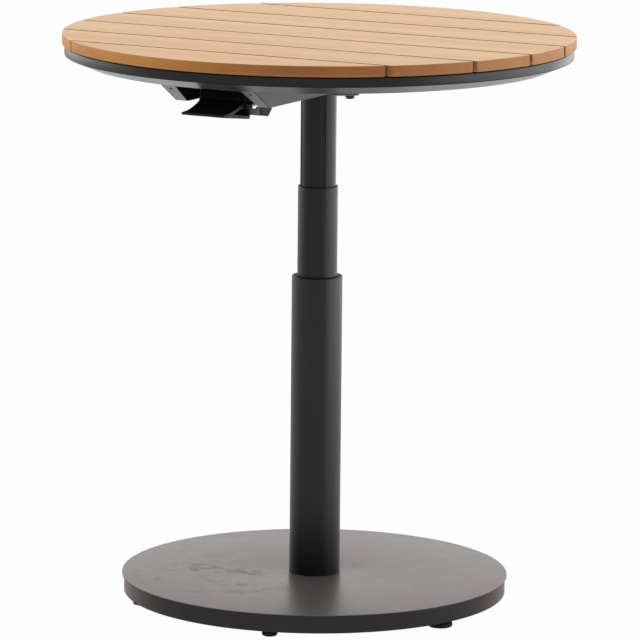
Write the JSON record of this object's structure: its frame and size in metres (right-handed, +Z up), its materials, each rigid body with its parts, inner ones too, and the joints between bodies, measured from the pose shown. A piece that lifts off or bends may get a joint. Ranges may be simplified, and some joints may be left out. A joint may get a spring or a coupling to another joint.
{
  "type": "telescoping pedestal table",
  "caption": "Round slatted wooden top with a metal rim on a three-stage telescoping column, with a release lever under the top and a flat round base on small feet.",
  "frame": {"origin": "on the floor under the feet, on the column's axis", "axes": "+Z up along the column; the boards run along X; the release lever points to -Y"},
  "size_m": [0.6578, 0.658, 0.737],
  "materials": {
    "teak": "oiled, fine straight grain",
    "anthracite_coat": "satin powder coat",
    "tube_coat": "satin powder coat",
    "base_coat": "satin powder coat",
    "bracket_coat": "satin",
    "rubber": "matte",
    "zinc_steel": "zinc plated",
    "black_screw": "black oxide",
    "ballast_iron": "raw casting",
    "slide_plastic": "low-friction plastic",
    "lever_plastic": "fine texture",
    "chromed_rod": "hard chromed",
    "cylinder_coat": "black lacquer"
  },
  "bodies": {
    "base": {"base_cover": "base_coat", "base_bottom_plate": "zinc_steel", "ballast_ring": "ballast_iron", "column_flange": "zinc_steel", "flange_bolts": "zinc_steel", "foot_glide_1": "rubber", "foot_glide_2": "rubber", "foot_glide_3": "rubber", "foot_glide_4": "rubber", "foot_glide_5": "rubber", "foot_glide_6": "rubber", "lower_tube": "tube_coat", "lower_bush": "slide_plastic", "gas_cylinder": "cylinder_coat", "cylinder_nut": "zinc_steel"},
    "middle": {"middle_tube": "tube_coat", "middle_slider": "slide_plastic", "middle_bush": "slide_plastic"},
    "lever": {"release_lever": "lever_plastic"},
    "push_rod": {"push_rod": "zinc_steel"},
    "rocker": {"valve_rocker": "zinc_steel"},
    "valve_pin": {"valve_pin": "chromed_rod"},
    "upper": {"board_1": "teak", "board_2": "teak", "board_3": "teak", "board_4": "teak", "board_5": "teak", "board_6": "teak", "board_7": "teak", "edge_ring": "anthracite_coat", "top_pan": "anthracite_coat", "release_housing": "anthracite_coat", "mount_plate": "anthracite_coat", "upper_tube": "tube_coat", "pivot_bracket_left": "tube_coat", "pivot_bracket_right": "tube_coat", "batten_left": "zinc_steel", "batten_centre": "zinc_steel", "batten_right": "zinc_steel", "backing_bar_left": "zinc_steel", "backing_bar_right": "zinc_steel", "board_screws": "zinc_steel", "mount_bolts": "zinc_steel", "rod_nut": "zinc_steel", "rod_bridge": "zinc_steel", "housing_screws": "zinc_steel", "bracket_screws": "zinc_steel", "pivot_pin": "zinc_steel", "return_spring": "zinc_steel", "rocker_pin": "zinc_steel", "rod_guide_front": "zinc_steel", "rod_guide_rear": "zinc_steel", "rocker_bracket": "zinc_steel", "lever_stop": "bracket_coat", "pan_bolts": "black_screw", "upper_slider": "slide_plastic", "piston": "slide_plastic", "piston_rod": "chromed_rod"}
  },
  "joints": [
    {"name": "middle_slide", "type": "slide", "parent": "base", "child": "middle", "axis": [0, 0, 1], "range_m": [-0.113, 0]},
    {"name": "upper_slide", "type": "slide", "parent": "middle", "child": "upper", "axis": [0, 0, 1], "range_m": [-0.125, 0]},
    {"name": "push_rod_slide", "type": "slide", "parent": "upper", "child": "push_rod", "axis": [0, 1, 0], "range_m": [0, 0.002]},
    {"name": "lever_hinge", "type": "hinge", "parent": "upper", "child": "lever", "pos_m": [0, -0.249, 0.6756], "axis": [-1, 0, 0], "range_deg": [0, 10.1], "stiffness_Nm_per_rad": 1.2, "springref_deg": -11.46},
    {"name": "rocker_hinge", "type": "hinge", "parent": "upper", "child": "rocker", "pos_m": [0, -0.014, 0.6751], "axis": [-1, 0, 0], "range_deg": [0, 14]},
    {"name": "valve_pin_slide", "type": "slide", "parent": "upper", "child": "valve_pin", "axis": [0, 0, -1], "range_m": [0, 0.0042]}
  ],
  "couplings": [
    {"joint": "lever_hinge", "follows": "push_rod_slide", "rad_per_m": 87.5},
    {"joint": "rocker_hinge", "follows": "push_rod_slide", "rad_per_m": 120},
    {"joint": "valve_pin_slide", "follows": "push_rod_slide", "ratio": 2.02}
  ]
}
